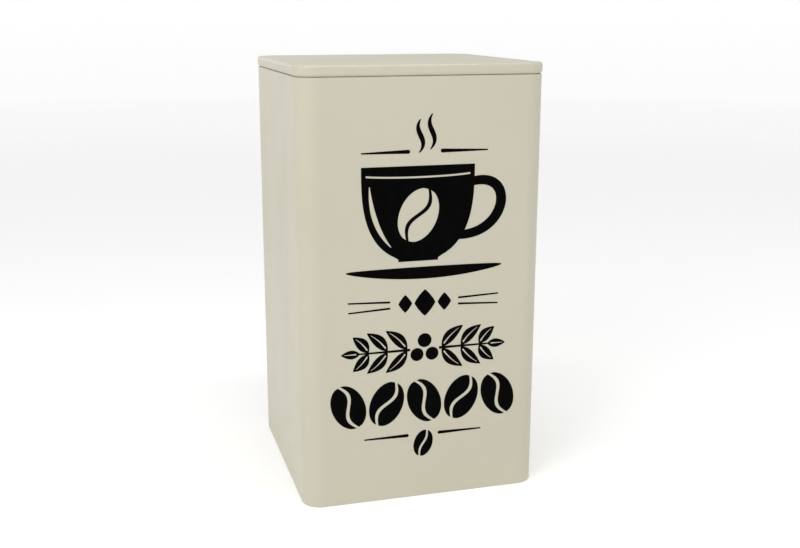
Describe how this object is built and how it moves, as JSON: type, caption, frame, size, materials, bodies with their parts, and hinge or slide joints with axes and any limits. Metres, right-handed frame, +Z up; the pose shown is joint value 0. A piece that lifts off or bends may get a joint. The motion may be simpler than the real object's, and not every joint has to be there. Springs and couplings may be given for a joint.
{
  "type": "square coffee tin",
  "caption": "Tall square coffee tin with rounded upright corners, a rolled mouth, a recessed base and a flat lift-off cap lid that carries a plug and a soft seal.",
  "frame": {"origin": "centre of the underside, in the plane the bottom hem rests on", "axes": "+Z up, front face towards -Y, plain left and right faces towards -X and +X, side seam at the middle of the +Y face"},
  "size_m": [0.1106, 0.1106, 0.195],
  "materials": {
    "cream_paint": "satin",
    "lacquered_tinplate": "satin",
    "natural_plastic": "matte",
    "clear_silicone": "satin",
    "black_print": "satin"
  },
  "bodies": {
    "tin": {"body_wall": "cream_paint", "base_panel": "lacquered_tinplate"},
    "lid": {"lid_shell": "cream_paint", "lid_plug": "natural_plastic", "lid_seal": "clear_silicone"}
  },
  "joints": [
    {"name": "lid_lift", "type": "slide", "parent": "tin", "child": "lid", "axis": [0, 0, 1], "range_m": [0, 0.1]}
  ]
}
